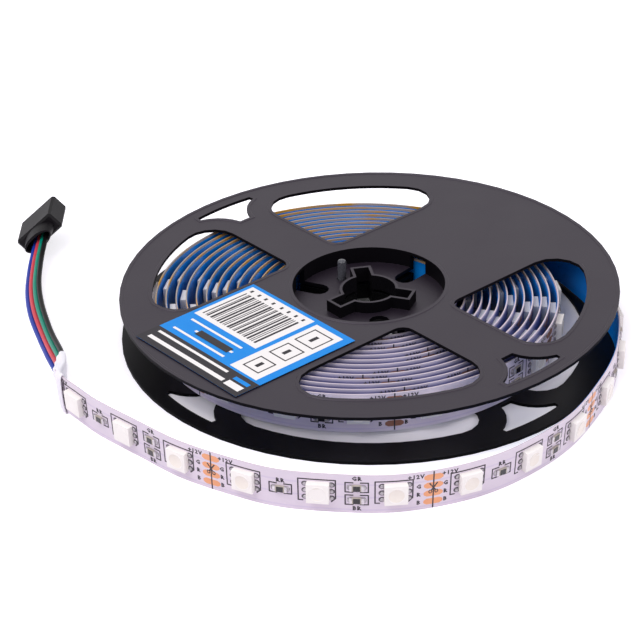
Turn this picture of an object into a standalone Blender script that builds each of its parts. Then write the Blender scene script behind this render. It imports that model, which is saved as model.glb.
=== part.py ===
"""A reel of RGB LED strip lying flat, its free end peeled off and standing on edge round the front.

Units are metres, +Z is up, and the reel stands on z = 0. While it is built, the reel's axis is the Z
axis; at the end the whole model is moved so that the middle of its base is the origin.
"""

import math

import bmesh
import bpy
from mathutils import Matrix, Vector

MM = 0.001

# Reel
REEL_RADIUS = 61.0 * MM
FLANGE_THICKNESS = 0.8 * MM
HUB_RADIUS = 20.0 * MM
HUB_WALL = 1.3 * MM
WEB_THICKNESS = 1.0 * MM
WEB_RISE = 1.0 * MM
TILT_TO_SIDE = math.radians(1.36)
TILT_TO_BACK = math.radians(0.69)
TURN_STEPS = 64
CLEAR = 0.15 * MM
CUT_MARGIN = 2.0 * MM

# Openings in the flanges
WINDOW_REACH = 53.0 * MM
WINDOW_CORNER = 7.0 * MM
WINDOW_APEX_CORNER = 3.0 * MM
STRUT_HALF_WIDTH = 7.4 * MM
LAND_HALF_WIDTH = 20.6 * MM
LOWER_WINDOW_START = 23.5 * MM
RIM_GAP_REACH = 57.2 * MM
RIM_GAP_ROOT = 47.6 * MM
RIM_GAP_ROOT_HALF_WIDTH = 1.8 * MM
RIM_GAP_TIP = 1.3 * MM
RIM_GAP_BOW = 1.4 * MM
RIM_GAP_HALF_ANGLE = math.radians(9.0)
STRUT_ANGLE = math.radians(132.0)
LAND_ANGLE = math.radians(222.0)

# Arbor and web
ARBOR_RADIUS = 6.5 * MM
ARBOR_WALL = 0.7 * MM
ARBOR_HEIGHT = 3.0 * MM
KEY_REACH = 10.6 * MM
KEY_HALF_WIDTH = 1.9 * MM
KEY_ANGLES = [math.radians(101.0 + 120.0 * turn) for turn in range(3)]
SLOT_HALF_WIDTH = 2.5 * MM
SLOTS = [(math.radians(49.0), 11.0 * MM), (math.radians(157.0), 11.0 * MM), (math.radians(283.0), 8.6 * MM)]
PIN_RADIUS = 1.1 * MM
PIN_HEIGHT = 5.2 * MM
PIN_PLACE = 12.6 * MM
PIN_ANGLE = math.radians(123.0)

# Strip
STRIP_WIDTH = 10.0 * MM
STRIP_THICKNESS = 0.3 * MM
LINER_THICKNESS = 0.1 * MM
LINER_GAP = 0.05 * MM
TURN_PITCH = 2.06 * MM
TURN_COUNT = 12.825
TURN_POINTS = 24
FIRST_TURN_GAP = 1.3 * MM
SPIRAL_START = math.radians(10.0)
LOOSE_BULGE = 5.3 * MM
LOOSE_SIDE = math.radians(190.0)
TAIL_SPACING = 4.5 * MM
FLOOR_REACH = 10.0 * MM
EDGE_ROOM = 0.6 * MM

# The inner end, which lies against the hub and shows through its slot: turning angle and distance from
# the hub's wall
INNER_END = [(66.0, 0.95 * MM), (53.0, 1.0 * MM), (40.0, 1.1 * MM), (27.0, 1.2 * MM)]

# The free end, as it lies round the reel
TAIL_ROUTE = [
    (31.8 * MM, 40.6 * MM),
    (45.3 * MM, 28.5 * MM),
    (52.8 * MM, 16.0 * MM),
    (57.3 * MM, 4.4 * MM),
    (59.9 * MM, -8.0 * MM),
    (59.2 * MM, -20.2 * MM),
    (56.8 * MM, -31.3 * MM),
    (51.8 * MM, -42.7 * MM),
    (45.5 * MM, -53.5 * MM),
    (37.4 * MM, -63.0 * MM),
    (27.8 * MM, -71.1 * MM),
    (16.7 * MM, -76.7 * MM),
    (4.5 * MM, -79.7 * MM),
    (-7.8 * MM, -79.4 * MM),
    (-20.2 * MM, -77.4 * MM),
    (-31.6 * MM, -72.3 * MM),
    (-42.3 * MM, -65.9 * MM),
    (-51.6 * MM, -57.8 * MM),
    (-61.1 * MM, -49.4 * MM),
    (-67.2 * MM, -43.2 * MM),
    (-69.8 * MM, -40.3 * MM),
    (-71.4 * MM, -37.9 * MM),
]

# Parts on the strip
SEGMENT_LENGTH = 50.0 * MM
LED_SIZE = 5.0 * MM
LED_HEIGHT = 1.6 * MM
RESISTOR_LENGTH = 3.2 * MM
RESISTOR_WIDTH = 1.6 * MM
RESISTOR_HEIGHT = 0.6 * MM
RESISTOR_OFFSET = 1.65 * MM
PART_GAP = 0.2 * MM
LEDS_PER_SEGMENT = 3

# Sleeve over the solder joint
SLEEVE_WALL = 0.35 * MM
SLEEVE_COVER = 4.2 * MM
SLEEVE_MOUTH = (-75.7 * MM, -22.1 * MM, 4.5 * MM)
SLEEVE_NARROWING = 0.2
SLEEVE_ROOM = 0.25 * MM
SLEEVE_LIFT = 0.7 * MM
SLEEVE_THICKNESS = 1.9 * MM
SLEEVE_SIDES = 20

# Lead wires: centre line from the sleeve to the connector, and the row's slope in degrees
WIRE_RADIUS = 0.65 * MM
WIRE_PITCH = 1.42 * MM
SOLDER_PITCH = 1.85 * MM
WIRE_SPACING = 2.8 * MM
WIRE_NAMES = ["wire_blue", "wire_red", "wire_green", "wire_black"]
LEAD_ROUTE = [
    (-73.2 * MM, -31.4 * MM, 4.9 * MM, 90.0),
    (-74.7 * MM, -26.0 * MM, 4.7 * MM, 89.0),
    (-75.8 * MM, -21.6 * MM, 4.4 * MM, 87.0),
    (-77.1 * MM, -15.5 * MM, 3.6 * MM, 74.0),
    (-79.5 * MM, -6.6 * MM, 2.7 * MM, 56.0),
    (-83.2 * MM, 6.0 * MM, 2.3 * MM, 46.0),
    (-85.4 * MM, 17.4 * MM, 2.3 * MM, 44.0),
    (-86.4 * MM, 28.1 * MM, 2.9 * MM, 43.0),
    (-86.7 * MM, 34.2 * MM, 4.4 * MM, 43.0),
    (-86.7 * MM, 38.0 * MM, 5.3 * MM, 43.0),
    (-86.6 * MM, 41.6 * MM, 5.5 * MM, 43.0),
]

# Connector
CONNECTOR_WIDTH = 11.0 * MM
CONNECTOR_THICKNESS = 4.5 * MM
CONNECTOR_LENGTH = 10.0 * MM
CONNECTOR_EDGE = 0.5 * MM
CONNECTOR_ROLL = math.radians(43.0)
CONNECTOR_YAW = math.radians(1.0)
COLLAR_LENGTH = 3.6 * MM
COLLAR_WIDTH = 9.0 * MM
COLLAR_THICKNESS = 4.2 * MM
COLLAR_WALL = 0.9 * MM
WIRE_POCKET = 4.2 * MM
CONTACT_PITCH = 2.54 * MM
CONTACT_SIZE = 0.9 * MM
CONTACT_LENGTH = 4.6 * MM
SOCKET_SIZE = 1.5 * MM
SOCKET_DEPTH = 5.4 * MM

# Label
LABEL_WIDTH = 37.6 * MM
LABEL_DEPTH = 36.0 * MM
LABEL_THICKNESS = 0.12 * MM
LABEL_DISTANCE = 38.7 * MM
LABEL_ANGLE = math.radians(221.3)
LABEL_TURN = math.radians(221.9)
LABEL_GAP = 0.04 * MM

# Heights that follow
STRIP_BOTTOM = FLANGE_THICKNESS + CLEAR
STRIP_TOP = STRIP_BOTTOM + STRIP_WIDTH
UPPER_TILT = math.hypot(TILT_TO_SIDE, TILT_TO_BACK)
PACK_REACH = HUB_RADIUS + FIRST_TURN_GAP + TURN_PITCH * TURN_COUNT + LOOSE_BULGE
REEL_HEIGHT = STRIP_TOP + CLEAR + FLANGE_THICKNESS + PACK_REACH * math.tan(UPPER_TILT)
MIDDLE = 0.5 * REEL_HEIGHT
HALF_GAP = HUB_RADIUS * math.tan(UPPER_TILT) + CLEAR
HALF_HEIGHT = MIDDLE - 0.5 * HALF_GAP


def clear_scene():
    for item in list(bpy.data.objects):
        bpy.data.objects.remove(item, do_unlink=True)


def new_collection(name):
    collection = bpy.data.collections.new(name)
    bpy.context.scene.collection.children.link(collection)
    return collection


def plastic(name, color, roughness, metallic=0.0):
    material = bpy.data.materials.new(name)
    material.use_nodes = True
    shader = material.node_tree.nodes["Principled BSDF"]
    shader.inputs["Base Color"].default_value = (*color, 1.0)
    shader.inputs["Roughness"].default_value = roughness
    shader.inputs["Metallic"].default_value = metallic
    return material


def add_mesh(name, form, collection, material=None):
    """Put a bmesh in the scene as a named object."""
    mesh = bpy.data.meshes.new(name)
    form.to_mesh(mesh)
    form.free()
    item = bpy.data.objects.new(name, mesh)
    collection.objects.link(item)
    if material is not None:
        mesh.materials.append(material)
    return item


def smooth(item, angle=35.0):
    item.data.shade_smooth()
    item.data.set_sharp_from_angle(angle=math.radians(angle))


def polar(radius, angle):
    return Vector((radius * math.cos(angle), radius * math.sin(angle)))


def arc(centre, radius, start, end, count):
    """Points on an arc from one angle to another."""
    steps = [start + (end - start) * index / count for index in range(count + 1)]
    return [centre + polar(radius, angle) for angle in steps]


def extrude_outlines(name, outlines, bottom, top, collection, material=None):
    """A flat filled outline, with holes where one lies in another, as a closed mesh from bottom to top."""
    curve = bpy.data.curves.new(name, "CURVE")
    curve.dimensions = "2D"
    curve.fill_mode = "BOTH"
    curve.extrude = 0.5 * (top - bottom)
    for outline in outlines:
        spline = curve.splines.new("POLY")
        spline.points.add(len(outline) - 1)
        for point, place in zip(spline.points, outline):
            point.co = (place[0], place[1], 0.0, 1.0)
        spline.use_cyclic_u = True
    drawn = bpy.data.objects.new(name, curve)
    collection.objects.link(drawn)
    mesh = bpy.data.meshes.new_from_object(drawn.evaluated_get(bpy.context.evaluated_depsgraph_get()))
    bpy.data.objects.remove(drawn, do_unlink=True)
    form = bmesh.new()
    form.from_mesh(mesh)
    bpy.data.meshes.remove(mesh)
    bmesh.ops.remove_doubles(form, verts=form.verts, dist=0.00001)
    bmesh.ops.recalc_face_normals(form, faces=form.faces)
    bmesh.ops.translate(form, verts=form.verts, vec=(0.0, 0.0, 0.5 * (top + bottom)))
    return add_mesh(name, form, collection, material)


def boolean(item, cutter, operation="DIFFERENCE"):
    step = item.modifiers.new(cutter.name, "BOOLEAN")
    step.operation = operation
    step.solver = "EXACT"
    step.object = cutter
    cutter.hide_render = True
    cutter.display_type = "WIRE"


def turned(name, profile, collection, material):
    """A closed solid of revolution; the profile runs top to bottom on its outer side."""
    mesh = bpy.data.meshes.new(name)
    vertices = [(radius, 0.0, height) for radius, height in profile]
    mesh.from_pydata(vertices, [(index, index + 1) for index in range(len(profile) - 1)], [])
    mesh.materials.append(material)
    item = bpy.data.objects.new(name, mesh)
    collection.objects.link(item)
    spin = item.modifiers.new("turn", "SCREW")
    spin.steps = TURN_STEPS
    spin.render_steps = TURN_STEPS
    spin.use_merge_vertices = True
    spin.merge_threshold = 0.00001
    return item


def window_outline(strut_angle, side, inner_limit):
    """One window between a strut and the next bar, in the flange's plane.

    Along the strut is u and across it is v. The window starts at v = half the strut's width and at
    u = inner_limit(v), and ends at the reach with rounded corners.
    """
    along = polar(1.0, strut_angle)
    across = polar(1.0, strut_angle + side * 0.5 * math.pi)
    start = STRUT_HALF_WIDTH
    reach = WINDOW_REACH
    corner = WINDOW_CORNER
    near_centre = Vector((math.sqrt((reach - corner) ** 2 - (start + corner) ** 2), start + corner))
    if inner_limit == "land":
        limit = LAND_HALF_WIDTH
        apex = WINDOW_APEX_CORNER
        inner = arc(Vector((limit + apex, start + apex)), apex, math.pi, 1.5 * math.pi, 4)
        far_v = math.sqrt((reach - corner) ** 2 - (limit + corner) ** 2)
        far_centre = Vector((limit + corner, far_v))
        closing = []
    else:
        apex = WINDOW_APEX_CORNER
        ring = LOWER_WINDOW_START + apex
        near_apex = Vector((math.sqrt(ring ** 2 - (start + apex) ** 2), start + apex))
        tangent = math.atan2(near_apex.y, near_apex.x)
        inner = arc(near_apex, apex, tangent + math.pi, 1.5 * math.pi, 3)
        far_apex = Vector((near_apex.y, near_apex.x))
        far_centre = Vector((near_centre.y, near_centre.x))
        far_tangent = math.atan2(far_apex.y, far_apex.x)
        closing = arc(far_apex, apex, math.pi, far_tangent + math.pi, 3)
        closing += arc(Vector((0.0, 0.0)), LOWER_WINDOW_START, far_tangent, tangent, 8)[1:-1]
    near_angle = math.atan2(near_centre.y, near_centre.x)
    far_angle = math.atan2(far_centre.y, far_centre.x)
    outline = inner
    outline += arc(near_centre, corner, -0.5 * math.pi, near_angle, 5)
    outline += arc(Vector((0.0, 0.0)), reach, near_angle, far_angle, 10)[1:-1]
    outline += arc(far_centre, corner, far_angle, math.pi, 5)
    outline += closing
    return [along * point.x + across * point.y for point in outline]


def bowed(first, last, bow, count):
    """Points from one place to another along a side that bows to its left."""
    chord = last - first
    left = Vector((-chord.y, chord.x)).normalized()
    return [first + chord * t + left * (4.0 * bow * t * (1.0 - t)) for t in (i / count for i in range(count + 1))]


def rim_gap_outline(strut_angle):
    """The small three-sided opening between two windows' corners, near the rim."""
    root = Vector((RIM_GAP_ROOT, RIM_GAP_ROOT_HALF_WIDTH))
    tip = polar(RIM_GAP_REACH - RIM_GAP_TIP, RIM_GAP_HALF_ANGLE)
    side = bowed(root, tip, -RIM_GAP_BOW, 5)
    rim = arc(Vector((0.0, 0.0)), RIM_GAP_REACH, RIM_GAP_HALF_ANGLE * 0.96, 0.0, 4)
    half = side + rim
    mirrored = [Vector((point.x, -point.y)) for point in reversed(half[:-1])]
    along = polar(1.0, strut_angle)
    across = polar(1.0, strut_angle + 0.5 * math.pi)
    return [along * point.x + across * point.y for point in half + mirrored]


def keyed_outline(radius, reach, half_width):
    """A circle with three square key lobes."""
    outline = []
    root = math.asin(half_width / radius)
    count = len(KEY_ANGLES)
    for index, angle in enumerate(KEY_ANGLES):
        direction = polar(1.0, angle)
        normal = polar(1.0, angle + 0.5 * math.pi)
        outline.append(direction * reach - normal * half_width)
        outline.append(direction * reach + normal * half_width)
        following = KEY_ANGLES[(index + 1) % count]
        if following < angle:
            following += 2.0 * math.pi
        outline += arc(Vector((0.0, 0.0)), radius, angle + root, following - root, 9)
    return outline


def slot_outline(angle, start, end, half_width):
    """A radial slot with a round inner end."""
    direction = polar(1.0, angle)
    normal = polar(1.0, angle + 0.5 * math.pi)
    local = arc(Vector((start, 0.0)), half_width, 0.5 * math.pi, 1.5 * math.pi, 6)
    local += [Vector((end, -half_width)), Vector((end, half_width))]
    return [direction * point.x + normal * point.y for point in local]


def reel_half(name, sign, window_outlines, material, parts, cutters):
    """One moulded half of the reel: flange, hub wall and web, with half of the keyed arbor.

    sign is +1 for the upper half and -1 for the lower one. Heights are measured from the reel's
    middle plane.
    """
    low = 0.5 * HALF_GAP + sign * WEB_RISE
    web_top = low + WEB_THICKNESS
    flange_under = MIDDLE - FLANGE_THICKNESS
    inner = HUB_RADIUS - HUB_WALL
    profile = [(0.0, web_top), (inner, web_top), (inner, MIDDLE), (REEL_RADIUS, MIDDLE)]
    profile += [(REEL_RADIUS, flange_under), (HUB_RADIUS, flange_under), (HUB_RADIUS, low), (0.0, low)]
    if sign < 0:
        profile = [(radius, -height) for radius, height in reversed(profile)]
    half = turned(name, profile, parts, material)

    def cut(label, outlines, bottom, top):
        bottom, top = sorted((sign * bottom, sign * top))
        cutter = extrude_outlines(label, outlines, bottom, top, cutters)
        cutter.parent = half
        return cutter

    for index, outline in enumerate(window_outlines):
        label = f"{name}_opening_{index + 1}"
        boolean(half, cut(label, [outline], flange_under - CUT_MARGIN, MIDDLE + CUT_MARGIN))
    for index, (angle, start) in enumerate(SLOTS):
        web_slot = slot_outline(angle, start + SLOT_HALF_WIDTH, HUB_RADIUS + CUT_MARGIN, SLOT_HALF_WIDTH)
        top = flange_under - 0.5 * CLEAR
        boolean(half, cut(f"{name}_slot_{index + 1}", [web_slot], low - CUT_MARGIN, top))
    outer_key = keyed_outline(ARBOR_RADIUS + ARBOR_WALL, KEY_REACH + ARBOR_WALL, KEY_HALF_WIDTH + ARBOR_WALL)
    collar = cut(f"{name}_arbor", [outer_key], low + 0.5 * WEB_THICKNESS, web_top + ARBOR_HEIGHT)
    boolean(half, collar, "UNION")
    inner_key = keyed_outline(ARBOR_RADIUS, KEY_REACH, KEY_HALF_WIDTH)
    bore = cut(f"{name}_bore", [inner_key], low - CUT_MARGIN, web_top + ARBOR_HEIGHT + CUT_MARGIN)
    boolean(half, bore)
    place = polar(PIN_PLACE, PIN_ANGLE)
    hole = arc(place, PIN_RADIUS + CLEAR, 0.0, 2.0 * math.pi, 16)[:-1]
    boolean(half, cut(f"{name}_pin_hole", [hole], low - CUT_MARGIN, web_top + CLEAR))
    half.location = (0.0, 0.0, MIDDLE)
    smooth(half)
    return half


def smooth_path(points, spacing):
    """Points along a smooth curve through the given points."""
    path = []
    count = len(points)
    for index in range(count - 1):
        before = points[max(index - 1, 0)]
        first = points[index]
        second = points[index + 1]
        after = points[min(index + 2, count - 1)]
        steps = max(2, round((second - first).xy.length / spacing))
        for step in range(steps):
            t = step / steps
            a = 2.0 * first
            b = (second - before) * t
            c = (2.0 * before - 5.0 * first + 4.0 * second - after) * t * t
            d = (3.0 * first - before - 3.0 * second + after) * t * t * t
            path.append(0.5 * (a + b + c + d))
    path.append(points[-1].copy())
    return path


def strip_radius(turned_by):
    """Distance of the strip's middle from the axis after so much turning."""
    share = turned_by / (2.0 * math.pi * TURN_COUNT)
    side = 0.5 + 0.5 * math.cos(SPIRAL_START - turned_by - LOOSE_SIDE)
    return HUB_RADIUS + FIRST_TURN_GAP + TURN_PITCH * TURN_COUNT * share + LOOSE_BULGE * share * side ** 2


def strip_path():
    """The strip's centre line, from its end in the hub to its free end, seen from above."""
    first = [polar(HUB_RADIUS + offset, math.radians(angle)) for angle, offset in INNER_END]
    total = 2.0 * math.pi * TURN_COUNT
    steps = round(TURN_COUNT * TURN_POINTS)
    spiral = []
    for index in range(steps + 1):
        turned_by = total * index / steps
        spiral.append(polar(strip_radius(turned_by), SPIRAL_START - turned_by))
    path = smooth_path(first + spiral[:1], TAIL_SPACING)[:-1]
    path += spiral[:-1]
    tail = smooth_path([spiral[-1]] + [Vector(place) for place in TAIL_ROUTE], TAIL_SPACING)
    return path + tail


def strip_floor(place, from_free_end):
    """Height of the strip's lower edge: on the flange, then down to the floor, then up into the sleeve."""
    beyond = min(max((place.length - REEL_RADIUS - EDGE_ROOM) / FLOOR_REACH, 0.0), 1.0)
    height = STRIP_BOTTOM * (1.0 - beyond * beyond * (3.0 - 2.0 * beyond))
    rise = min(max(1.0 - (from_free_end - SLEEVE_COVER) / (2.0 * SLEEVE_COVER), 0.0), 1.0)
    return max(height, SLEEVE_LIFT * rise * rise * (3.0 - 2.0 * rise))


def path_normals(path):
    """Unit vectors to the outer side of the path, which runs clockwise round the axis."""
    normals = []
    for index in range(len(path)):
        ahead = path[min(index + 1, len(path) - 1)]
        behind = path[max(index - 1, 0)]
        tangent = (ahead - behind).normalized()
        normals.append(Vector((-tangent.y, tangent.x)))
    return normals


def path_distances(path):
    """Distance of each point from the path's last one, along the path."""
    distances = [0.0]
    for index in range(len(path) - 1, 0, -1):
        distances.append(distances[-1] + (path[index] - path[index - 1]).length)
    return list(reversed(distances))


def band(name, path, normals, distances, inner, outer, parts, material):
    """An upright band along the path, between two offsets from its middle line."""
    middle = 0.5 * (inner + outer)
    form = bmesh.new()
    lower = []
    for place, normal, left in zip(path, normals, distances):
        spot = place + normal * middle
        lower.append(form.verts.new((spot.x, spot.y, strip_floor(place, left))))
    edges = [form.edges.new(pair) for pair in zip(lower, lower[1:])]
    raised = bmesh.ops.extrude_edge_only(form, edges=edges)
    upper = [element for element in raised["geom"] if isinstance(element, bmesh.types.BMVert)]
    bmesh.ops.translate(form, verts=upper, vec=(0.0, 0.0, STRIP_WIDTH))
    item = add_mesh(name, form, parts, material)
    wall = item.modifiers.new("thickness", "SOLIDIFY")
    wall.thickness = outer - inner
    wall.offset = 0.0
    wall.use_even_offset = True
    smooth(item)
    return item


def at_distance(path, distances, normals, left):
    """Place, outward normal and tangent at a distance from the free end."""
    for index in range(len(path) - 1, 0, -1):
        if distances[index - 1] >= left:
            span = distances[index - 1] - distances[index]
            share = (left - distances[index]) / span
            place = path[index].lerp(path[index - 1], share)
            tangent = (path[index] - path[index - 1]).normalized()
            normal = Vector((-tangent.y, tangent.x))
            return place, normal, tangent
    return path[0], normals[0], Vector((1.0, 0.0))


def strip_part(name, size, place, normal, tangent, height, stand_off, parts, material):
    """A small block on the strip's outer face: size is along the strip, up it and out of it."""
    form = bmesh.new()
    bmesh.ops.create_cube(form, size=1.0)
    bmesh.ops.scale(form, vec=size, verts=form.verts)
    item = add_mesh(name, form, parts, material)
    out = stand_off + 0.5 * size[2]
    turn = Matrix((
        (tangent.x, 0.0, normal.x),
        (tangent.y, 0.0, normal.y),
        (0.0, -1.0, 0.0),
    ))
    item.rotation_euler = turn.to_euler()
    item.location = (place.x + normal.x * out, place.y + normal.y * out, height)
    return item


def rounded_section(half_width, half_height, sides):
    """A flat oval ring of points in a plane: across, up."""
    ring = []
    for index in range(sides):
        angle = 2.0 * math.pi * (index + 0.5) / sides
        across = math.copysign(abs(math.cos(angle)) ** 0.6, math.cos(angle))
        up = math.copysign(abs(math.sin(angle)) ** 0.6, math.sin(angle))
        ring.append((half_width * across, half_height * up))
    return ring


def build_sleeve(path, distances, normals, parts, material):
    """White sleeve shrunk over the strip's end and the four wires: an open tube, upright and flat."""
    form = bmesh.new()
    mouth = Vector(SLEEVE_MOUTH)
    start_place, _, _ = at_distance(path, distances, normals, SLEEVE_COVER)
    first_half = (mouth.xy - path[-1]).length / 3.0
    stations = smooth_path([start_place, path[-1], path[-1].lerp(mouth.xy, 0.5), mouth.xy], first_half)
    total = len(stations) - 1
    strip_middle = SLEEVE_LIFT + 0.5 * STRIP_WIDTH
    beyond_strip = mouth.xy - path[-1]
    solder_room = 0.5 * MM / beyond_strip.length
    rings = []
    for index, place in enumerate(stations):
        past = (place - path[-1]).dot(beyond_strip) / beyond_strip.length_squared
        share = max(past - solder_room, 0.0) / (1.0 - solder_room)
        ahead = stations[min(index + 1, total)]
        behind = stations[max(index - 1, 0)]
        tangent = (ahead - behind).normalized()
        normal = Vector((-tangent.y, tangent.x))
        half_height = (0.5 * STRIP_WIDTH + SLEEVE_ROOM) * (1.0 - SLEEVE_NARROWING * share)
        middle = strip_middle + (mouth.z - strip_middle) * share
        ring = []
        for across, up in rounded_section(0.5 * SLEEVE_THICKNESS, half_height, SLEEVE_SIDES):
            spot = place + normal * across
            ring.append(form.verts.new((spot.x, spot.y, middle + up)))
        rings.append(ring)
    for first, second in zip(rings, rings[1:]):
        for index in range(SLEEVE_SIDES):
            following = (index + 1) % SLEEVE_SIDES
            form.faces.new((first[index], first[following], second[following], second[index]))
    bmesh.ops.recalc_face_normals(form, faces=form.faces)
    item = add_mesh("solder_sleeve", form, parts, material)
    wall = item.modifiers.new("wall", "SOLIDIFY")
    wall.thickness = SLEEVE_WALL
    wall.offset = 1.0
    wall.use_even_offset = True
    smooth(item)
    return item


def build_wires(parts, materials):
    """Four insulated wires side by side, in a row that leans as it nears the connector."""
    points = [Vector(row) for row in LEAD_ROUTE]
    centre = smooth_path(points, WIRE_SPACING)
    count = len(WIRE_NAMES)
    for index, name in enumerate(WIRE_NAMES):
        curve = bpy.data.curves.new(name, "CURVE")
        curve.dimensions = "3D"
        curve.bevel_depth = WIRE_RADIUS
        curve.bevel_resolution = 2
        curve.use_fill_caps = True
        spline = curve.splines.new("POLY")
        spline.points.add(len(centre) - 1)
        for step, (point, station) in enumerate(zip(spline.points, centre)):
            ahead = centre[min(step + 1, len(centre) - 1)]
            behind = centre[max(step - 1, 0)]
            heading = (ahead - behind).xy.normalized()
            side = Vector((heading.y, -heading.x))
            slope = math.radians(station.w)
            share = min(step / (0.25 * len(centre)), 1.0)
            pitch = SOLDER_PITCH + (WIRE_PITCH - SOLDER_PITCH) * share
            offset = (index - 0.5 * (count - 1)) * pitch
            flat = offset * math.cos(slope)
            place = Vector((station.x + side.x * flat, station.y + side.y * flat, station.z))
            place.z += offset * math.sin(slope)
            point.co = (*place, 1.0)
        item = bpy.data.objects.new(name, curve)
        parts.objects.link(item)
        curve.materials.append(materials[name])


def build_connector(parts, cutters, shell, metal):
    """Four-way connector: a moulded block with an oval collar round the wires and a row of sockets.

    In its own frame the row of contacts is along X, the wires leave along -Y, and the origin is in
    the middle of the wire end.
    """
    frame = bpy.data.objects.new("connector_frame", None)
    parts.objects.link(frame)
    form = bmesh.new()
    bmesh.ops.create_cube(form, size=1.0)
    bmesh.ops.scale(form, vec=(CONNECTOR_WIDTH, CONNECTOR_LENGTH, CONNECTOR_THICKNESS), verts=form.verts)
    bmesh.ops.translate(form, vec=(0.0, 0.5 * CONNECTOR_LENGTH, 0.0), verts=form.verts)
    bmesh.ops.bevel(form, geom=form.edges[:], offset=CONNECTOR_EDGE, segments=1, affect="EDGES")
    housing = add_mesh("connector_housing", form, parts, shell)
    housing.parent = frame

    def oval(label, width, thickness, near, far, taper):
        shape = bmesh.new()
        made = bmesh.ops.create_cone(shape, segments=28, cap_ends=True, radius1=0.5 * taper, radius2=0.5, depth=1.0)
        bmesh.ops.rotate(shape, verts=made["verts"], cent=(0, 0, 0), matrix=Matrix.Rotation(-0.5 * math.pi, 3, "X"))
        bmesh.ops.scale(shape, vec=(width, far - near, thickness), verts=shape.verts)
        bmesh.ops.translate(shape, vec=(0.0, 0.5 * (near + far), 0.0), verts=shape.verts)
        item = add_mesh(label, shape, cutters)
        item.parent = frame
        return item

    collar = oval("collar_form", COLLAR_WIDTH, COLLAR_THICKNESS, -COLLAR_LENGTH, CONNECTOR_EDGE * 2.0, 0.86)
    boolean(housing, collar, "UNION")
    room_width = COLLAR_WIDTH - 2.0 * COLLAR_WALL
    room_thickness = COLLAR_THICKNESS - 2.0 * COLLAR_WALL
    near = -COLLAR_LENGTH - CUT_MARGIN
    room = oval("wire_room", room_width, room_thickness, near, WIRE_POCKET - COLLAR_LENGTH, 1.0)
    boolean(housing, room)
    count = len(WIRE_NAMES)
    for index in range(count):
        across = (index - 0.5 * (count - 1)) * CONTACT_PITCH
        shape = bmesh.new()
        bmesh.ops.create_cube(shape, size=1.0)
        depth = SOCKET_DEPTH + CUT_MARGIN
        bmesh.ops.scale(shape, vec=(SOCKET_SIZE, depth, SOCKET_SIZE), verts=shape.verts)
        middle = CONNECTOR_LENGTH - SOCKET_DEPTH + 0.5 * depth
        bmesh.ops.translate(shape, vec=(across, middle, 0.0), verts=shape.verts)
        socket = add_mesh(f"socket_{index + 1}", shape, cutters)
        socket.parent = frame
        boolean(housing, socket)
        shape = bmesh.new()
        bmesh.ops.create_cube(shape, size=1.0)
        bmesh.ops.scale(shape, vec=(CONTACT_SIZE, CONTACT_LENGTH, CONTACT_SIZE), verts=shape.verts)
        middle = CONNECTOR_LENGTH - SOCKET_DEPTH + 0.5 * CONTACT_LENGTH + 2.0 * CLEAR
        bmesh.ops.translate(shape, vec=(across, middle, 0.0), verts=shape.verts)
        contact = add_mesh(f"contact_{index + 1}", shape, parts, metal)
        contact.parent = frame
    end = Vector(LEAD_ROUTE[-1])
    lean = Matrix.Rotation(CONNECTOR_YAW, 4, "Z") @ Matrix.Rotation(-CONNECTOR_ROLL, 4, "Y")
    inside = WIRE_POCKET - COLLAR_LENGTH - 2.0 * CLEAR
    frame.matrix_world = Matrix.Translation(end.xyz) @ lean @ Matrix.Translation((0.0, -inside, 0.0))
    return frame


def build_label(parts, material, tilt):
    """Printed sticker on the wide land of the upper flange."""
    form = bmesh.new()
    bmesh.ops.create_cube(form, size=1.0)
    bmesh.ops.scale(form, vec=(LABEL_DEPTH, LABEL_WIDTH, LABEL_THICKNESS), verts=form.verts)
    label = add_mesh("label", form, parts, material)
    place = polar(LABEL_DISTANCE, LABEL_ANGLE)
    height = MIDDLE + LABEL_GAP + 0.5 * LABEL_THICKNESS
    local = Matrix.Translation((place.x, place.y, height)) @ Matrix.Rotation(LABEL_TURN, 4, "Z")
    label.matrix_world = Matrix.Translation((0.0, 0.0, MIDDLE)) @ tilt @ local
    return label


def build_pin(parts, material):
    """Clear plastic pin that locks the two webs together."""
    joint = MIDDLE + WEB_RISE
    low = joint - 0.5 * HALF_GAP - WEB_THICKNESS - CLEAR
    top = joint + 0.5 * HALF_GAP + WEB_THICKNESS + PIN_HEIGHT
    form = bmesh.new()
    bmesh.ops.create_cone(form, segments=16, cap_ends=True, radius1=PIN_RADIUS, radius2=PIN_RADIUS, depth=top - low)
    rim = [edge for edge in form.edges if min(vertex.co.z for vertex in edge.verts) > 0.0]
    bmesh.ops.bevel(form, geom=rim, offset=0.55 * PIN_RADIUS, segments=2, affect="EDGES", profile=0.5)
    pin = add_mesh("web_pin", form, parts, material)
    place = polar(PIN_PLACE, PIN_ANGLE)
    pin.location = (place.x, place.y, 0.5 * (top + low))
    smooth(pin)
    return pin


def seat_on_base(root, lead_names, parts):
    """Move the model so that the middle of its base, without the lead, is the origin."""
    bpy.context.view_layer.update()
    graph = bpy.context.evaluated_depsgraph_get()
    low = Vector((math.inf, math.inf))
    high = Vector((-math.inf, -math.inf))
    for item in parts.objects:
        if item.type != "MESH" or item.name in lead_names:
            continue
        shape = item.evaluated_get(graph)
        for vertex in shape.to_mesh().vertices:
            spot = item.matrix_world @ vertex.co
            low.x, low.y = min(low.x, spot.x), min(low.y, spot.y)
            high.x, high.y = max(high.x, spot.x), max(high.y, spot.y)
        shape.to_mesh_clear()
    middle = 0.5 * (low + high)
    root.location = (-middle.x, -middle.y, 0.0)


clear_scene()
parts = new_collection("led_strip_reel")
cutters = new_collection("cutters")

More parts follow.
